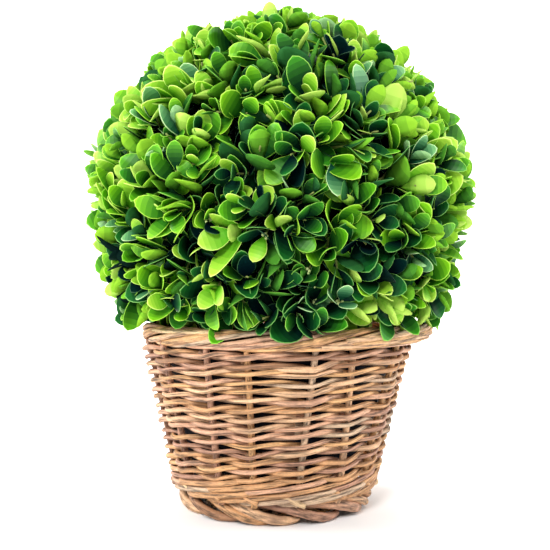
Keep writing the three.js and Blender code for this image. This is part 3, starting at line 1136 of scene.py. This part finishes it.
# the share of shoots of each tone, from shade to silvery: at the front, low down, at
# the sides and on top, and deep inside; the darker tones at the front, low down and deep inside are
# painted shade, and the paler tones at the sides and on top are painted light
FRONT_TONES = [0.13, 0.28, 0.19, 0.15, 0.13, 0.1, 0.02]
LOW_TONES = [0.22, 0.36, 0.18, 0.11, 0.07, 0.05, 0.01]
SIDE_TONES = [0.0, 0.03, 0.08, 0.22, 0.35, 0.25, 0.07]
INNER_TONES = [0.9, 0.1, 0, 0, 0, 0, 0]
CLIP_DEPTH = 1.7 * MM  # how far inside the clipped outline most of the outer leaf tips lie
CLIP_UNEVENNESS = 2.2 * MM
SHOULDER_DEPTH = 4.1 * MM  # and how much further on the shoulder of the ball
SHOULDER_SLOPE = 0.58
SHOULDER_BREADTH = 0.42
PAIRS = 4  # the pairs of leaves on a shoot
PAIR_SPACING = 4.6 * MM
OPENING = 20, 46  # the angle from the shoot at its tip, and lower down, in degrees
MEAN_LEAF = 18.4 * MM
LEAF_SPREAD = 2.8 * MM
TRIES = 8  # a leaf is tried in up to this many places
MOST_PAST = 11 * MM  # a leaf whose tip is further than this past its place is left out
SHADED_FROM = 2  # from this pair down, some leaves get a darker tone: partly the darker green of older leaves, partly painted shade for the shade of those above
OWN_TONE = 0.6  # the share of a shoot's leaves that have the shoot's own tone
TURNING_UP = 0.22  # how far a shoot's tip turns up to the light
NEIGHBOURHOOD = 17 * MM  # leaves whose middles are nearer than this may touch
MOST_LEAVES = 12000
leaf_frames = np.zeros((MOST_LEAVES, 14))  # foot, along, across, normal, length, half width
leaf_rows = []


def leaf_lines(frames):
    """Three lines along each leaf, as start points and end points."""
    across = np.array([0, 0.6, -0.6])[None, :, None] * frames[:, 13, None, None]
    foot = frames[:, None, 0:3] + frames[:, None, 6:9] * across
    length = frames[:, 12, None, None] * frames[:, None, 3:6]
    start = foot + length * np.array([0.15, 0.35, 0.35])[None, :, None]
    end = foot + length * np.array([0.97, 0.82, 0.82])[None, :, None]
    return start.reshape(-1, 3), end.reshape(-1, 3)


def pierced(start, end, frames):
    """How many times the lines pass through the leaves."""
    off = start[:, None] - frames[None, :, 0:3]
    run = (end - start)[:, None]
    first = (off * frames[None, :, 9:12]).sum(-1)
    change = (run * frames[None, :, 9:12]).sum(-1)
    share = -first / np.where(np.abs(change) < 1e-9, 1e-9, change)
    at = off + run * share[..., None]
    across = (at * frames[None, :, 6:9]).sum(-1) / frames[None, :, 13]
    along = (at * frames[None, :, 3:6]).sum(-1) / frames[None, :, 12]
    inside = ((along - 0.55) / 0.45) ** 2 + across**2 < 0.9
    return int((inside & (share > 0) & (share < 1)).sum())


def clashes(frame_row):
    """How often a new leaf and the leaves already there pass through each other."""
    placed = leaf_frames[: len(leaf_rows)]
    middle = frame_row[0:3] + frame_row[3:6] * frame_row[12] / 2
    middles = placed[:, 0:3] + placed[:, 3:6] * placed[:, 12:13] / 2
    near = placed[((middles - middle) ** 2).sum(-1) < NEIGHBOURHOOD**2]
    if not len(near):
        return 0
    mine = frame_row[None]
    return pierced(*leaf_lines(mine), near) + pierced(*leaf_lines(near), mine)


def shoot_of(points, size, tone, tones, open_at_tip, open_below, spacing, shaded=0.0):
    """What the leaves of one shoot need to know: its line from the tip back, and its habit."""
    line = np.asarray(points)[::-1]
    axis = Vector(line[0] - line[3]).normalized() + Vector((0, 0, TURNING_UP))
    axis = (axis + Vector(plant_rng.normal(0, 0.2, 3))).normalized()
    return {
        "line": line,
        "gone": np.r_[0, np.cumsum(np.linalg.norm(np.diff(line, axis=0), axis=1))],
        "axis": axis,
        "spin": plant_rng.uniform(0, 2 * math.pi),
        "recess": plant_rng.normal(0.2, 2.4) * MM,
        "size": size,
        "tone": tone,
        "tones": tones,
        "open": (open_at_tip, open_below),
        "spacing": spacing,
        "shaded": shaded,
        "back": 0.0,
    }


def place_leaf(shoot, pair, back, half, loose):
    """One try at a leaf: its foot, direction, normal and length, or None where it can't be."""
    axis = shoot["axis"]
    out = axis.orthogonal().normalized()
    other = axis.cross(out)
    gone = 0.4 * MM + pair * shoot["spacing"]
    foot = Vector([np.interp(gone, shoot["gone"], shoot["line"][:, i]) for i in range(3)])
    turn = shoot["spin"] + math.pi * (half + pair / 2) + plant_rng.normal(0, 0.15 * loose)
    side = out * math.cos(turn) + other * math.sin(turn)
    spread = shoot["open"][0] + (shoot["open"][1] - shoot["open"][0]) * back**0.8
    angle = math.radians(plant_rng.normal(spread, 11 * loose))
    along = axis * math.cos(angle) + side * math.sin(angle)
    normal = axis * math.sin(angle) - side * math.cos(angle)
    roll = plant_rng.normal(0, 0.25 * loose)
    normal = normal * math.cos(roll) + along.cross(normal) * math.sin(roll)
    length = shoot["size"] * (0.72 + 0.28 * min(1, 2.6 * back)) * plant_rng.normal(1, 0.12)
    for _ in range(5):
        if not any(in_basket(foot + along * length * s) for s in (0.4, 0.7, 1.0)):
            break
        along = (along + Vector((0, 0, 0.45))).normalized()
        normal = (normal - along * normal.dot(along)).normalized()
    else:
        return None
    tip = foot + along * length - ball_middle
    way = tip.normalized()
    shoulder = max(0.0, 1 - ((way.z - SHOULDER_SLOPE) / SHOULDER_BREADTH) ** 2)
    inside = CLIP_DEPTH + SHOULDER_DEPTH * shoulder
    inside += plant_rng.normal(0, CLIP_UNEVENNESS) + shoot["recess"]
    past = tip.length - (reach_of(way) - inside)
    if past > MOST_PAST:
        return None
    foot -= axis * max(0, past)
    if pair == 0:
        shoot["back"] = max(0, past)
    return foot, along, normal, length


def add_pair(shoot, pair, pairs):
    """Adds one opposite pair, each leaf at the first try that clears the leaves already there."""
    back = pair / max(1, pairs - 1)  # 0 at the shoot's tip
    for half in (0, 1):
        best = None
        for attempt in range(TRIES):
            tried = place_leaf(shoot, pair, back, half, 1 + 0.25 * attempt)
            if tried is None:
                continue
            foot, along, normal, length = tried
            broad = plant_rng.uniform(0.86, 1.2)
            across = along.cross(normal)
            half_width = length * LEAF_HALF_WIDTH * broad
            row = np.array([*foot, *along, *across, *normal, length, half_width])
            found = clashes(row)
            if best is None or found < best[0]:
                best = found, row, broad
            if found == 0:
                break
        if best is None or best[0] > 1:
            continue
        leaf_frames[len(leaf_rows)] = best[1]
        tone = shoot["tone"]
        if plant_rng.random() > OWN_TONE:
            tone = plant_rng.choice(len(TONE_NAMES), p=shoot["tones"])
        # partly painted shade: lower leaves on less lit shoots get the deep tone or darker
        if pair >= SHADED_FROM and plant_rng.random() < shoot["shaded"]:
            tone = min(tone, DEEP)
        leaf_rows.append(
            {
                "base": best[1][0:3],
                "along": best[1][3:6],
                "normal": best[1][9:12],
                "length": best[1][12],
                "broad": best[2],
                "cup": plant_rng.uniform(0.05, 0.45) * (1 if plant_rng.random() < 0.85 else -0.6),
                "curl": plant_rng.normal(-0.02, 0.1),
                "tone": tone,
            }
        )


def painted_light_share(way):
    """The share of pale leaves in a direction, painted light: most at the sides and on top, least
    below, where the tones are painted shade.
    """
    sideways = 1.3 * way.x**1.6 if way.x > 0 else -1.5 * way.x
    above, below = max(0.0, way.z), max(0.0, -way.z)
    return min(1.0, sideways + 0.8 * above**1.7) * (1 - 0.7 * below)


shoots = []
for way, points in zip(shoot_ways, shoot_limbs):
    # painted light and shade: paler tones where the light falls, darker tones below and at the
    # front
    light = painted_light_share(way)
    unlit = between(FRONT_TONES, LOW_TONES, min(1.0, 2 * max(0.0, -way.z)))
    tones = np.array(between(unlit, SIDE_TONES, light))
    tones /= tones.sum()
    tone = plant_rng.choice(len(TONE_NAMES), p=tones)
    size = plant_rng.normal(MEAN_LEAF, LEAF_SPREAD)
    shoots.append(
        shoot_of(points, size, tone, tones, *OPENING, PAIR_SPACING, shaded=0.5 * (1 - light))
    )
for pair in range(PAIRS):
    for shoot in shoots:
        add_pair(shoot, pair, PAIRS)
# the inner leaves are mostly of the shade tone, painted shade for the dark inside of the ball
lower_shoots = [shoot_of(p[:-4], 17 * MM, 0, INNER_TONES, 60, 75, 6 * MM) for p in shoot_limbs]
for shoot in lower_shoots:
    add_pair(shoot, 0, 1)
twig_shoots = [shoot_of(p, 20 * MM, 0, INNER_TONES, 45, 80, 6 * MM) for p in twig_limbs]
for pair in range(PAIRS):
    for shoot in twig_shoots:
        add_pair(shoot, pair, PAIRS)

leaf_table = {key: np.array([row[key] for row in leaf_rows]) for key in leaf_rows[0]}
MOST_TOGETHER = 1500  # leaves in one joined piece
for number, tone in enumerate(TONE_NAMES):
    materials = leaf_materials(tone)
    of_tone = np.flatnonzero(leaf_table["tone"] == number)
    for first in range(0, len(of_tone), MOST_TOGETHER):
        picked = of_tone[first : first + MOST_TOGETHER]
        chosen = {key: values[picked] for key, values in leaf_table.items()}
        piece = joined_leaves(f"leaves_{tone}_{first // MOST_TOGETHER + 1}", chosen, materials)
        finished(piece, "box_leaves", "leaf_ball")


# ---------------------------------------------------------------------------------------------
# Buds: clusters of small round pale buds, five together, that sit between the leaves at the tip of
# every seventh shoot. They are all joined in one piece.
# ---------------------------------------------------------------------------------------------
BUD_RADIUS = 0.75 * MM
BUDS_TOGETHER = 5
BUD_SHOOTS = 7  # one shoot in this many bears buds
CLUSTER_RADIUS = 1.1 * MM
bud_shape = bmesh.new()
bmesh.ops.create_icosphere(bud_shape, subdivisions=1, radius=1.0)
bud_shape.verts.index_update()
bud_points = np.array([v.co[:] for v in bud_shape.verts]) * BUD_RADIUS
bud_faces = np.array([[v.index for v in f.verts] for f in bud_shape.faces])
bud_shape.free()
bud_places = []
for shoot in shoots[::BUD_SHOOTS]:
    axis = shoot["axis"]
    side = axis.orthogonal().normalized()
    for k in range(BUDS_TOGETHER):
        turn = 2 * math.pi * k / BUDS_TOGETHER
        out = side * math.cos(turn) + axis.cross(side) * math.sin(turn)
        tip = Vector(shoot["line"][0]) - axis * (shoot["back"] - 0.8 * MM)
        along = axis * plant_rng.uniform(-0.4, 0.6) * MM
        bud_places.append(tip + out * CLUSTER_RADIUS + along)
bud_mesh = bpy.data.meshes.new("buds")
offsets = np.arange(len(bud_places))[:, None, None] * len(bud_points)
bud_mesh.from_pydata(
    (np.array(bud_places)[:, None] + bud_points[None]).reshape(-1, 3).tolist(),
    [],
    (bud_faces[None] + offsets).reshape(-1, 3).tolist(),
)
bud_mesh.polygons.foreach_set("use_smooth", np.ones(len(bud_mesh.polygons), bool))
bud_mesh.materials.append(leaf_material("box_bud", (206, 222, 146), 0.5, 0.2))
buds = bpy.data.objects.new("buds", bud_mesh)
bpy.context.scene.collection.objects.link(buds)
finished(buds, "box_leaves", "leaf_ball")


# ---------------------------------------------------------------------------------------------
# Studio: a plain pale floor that sweeps up behind, a soft key light at the front, soft lights above
# and at both sides, one on the sweep behind, and an even white surround.
# ---------------------------------------------------------------------------------------------
floor_shape = bmesh.new()
sweep = [(-3.0, 0.0), (2.0, 0.0), (2.6, 0.12), (3.0, 0.45), (3.15, 1.0), (3.2, 3.0)]
edge = [floor_shape.verts.new((-4.0, y, z)) for y, z in sweep]
for first, second in zip(edge, edge[1:]):
    floor_shape.edges.new((first, second))
widened = bmesh.ops.extrude_edge_only(floor_shape, edges=floor_shape.edges[:])
moved = [v for v in widened["geom"] if isinstance(v, bmesh.types.BMVert)]
bmesh.ops.translate(floor_shape, verts=moved, vec=(8.0, 0, 0))
bmesh.ops.recalc_face_normals(floor_shape, faces=floor_shape.faces)
for face in floor_shape.faces:
    face.smooth = True
floor_material, _, floor_shader = principled("studio_floor")
floor_shader.inputs["Base Color"].default_value = (0.93, 0.93, 0.93, 1)
floor_shader.inputs["Roughness"].default_value = 0.9
floor_mesh = bpy.data.meshes.new("studio_floor")
floor_mesh.materials.append(floor_material)
floor = bpy.data.objects.new("studio_floor", floor_mesh)
bpy.context.scene.collection.objects.link(floor)
close_shape(floor, floor_shape)

world = bpy.data.worlds.new("studio")
world.use_nodes = True
world.node_tree.nodes["Background"].inputs["Color"].default_value = (1, 1, 1, 1)
world.node_tree.nodes["Background"].inputs["Strength"].default_value = 0.42
bpy.context.scene.world = world


def soft_light(name, place, aim, size, power):
    """A square area light."""
    lamp = bpy.data.lights.new(name, "AREA")
    lamp.shape = "SQUARE"
    lamp.size = size
    lamp.energy = power
    holder = bpy.data.objects.new(name, lamp)
    bpy.context.scene.collection.objects.link(holder)
    holder.location = place
    holder.rotation_euler = (Vector(aim) - Vector(place)).to_track_quat("-Z", "Y").to_euler()


soft_light("key_light", (-0.3, -1.1, 0.75), (0, 0, 0.12), 0.35, 12.6)
soft_light("top_light", (0, 0.1, 1.3), (0, 0, 0.12), 0.8, 12)
soft_light("left_light", (-1.0, 0.05, 0.4), (0, 0, 0.13), 0.6, 9)
soft_light("right_light", (1.0, 0.05, 0.4), (0, 0, 0.13), 0.6, 6.5)
soft_light("backdrop_light", (0, 0.8, 1.6), (0, 3.0, 0.3), 1.5, 130)

bpy.context.scene.view_settings.view_transform = "Standard"


# ---------------------------------------------------------------------------------------------
# Camera: level with the middle of the plant and straight in front of it.
# ---------------------------------------------------------------------------------------------
CAMERA_PLACE = Vector((0, -0.490, 0.125))
CAMERA_AIM = Vector((0, 0, 0.1178))
lens = bpy.data.cameras.new("camera")
lens.sensor_width = 36
lens.lens = 61.985
lens.clip_start = 0.01
camera = bpy.data.objects.new("camera", lens)
bpy.context.scene.collection.objects.link(camera)
camera.location = CAMERA_PLACE
camera.rotation_euler = (CAMERA_AIM - CAMERA_PLACE).to_track_quat("-Z", "Y").to_euler()
bpy.context.scene.camera = camera
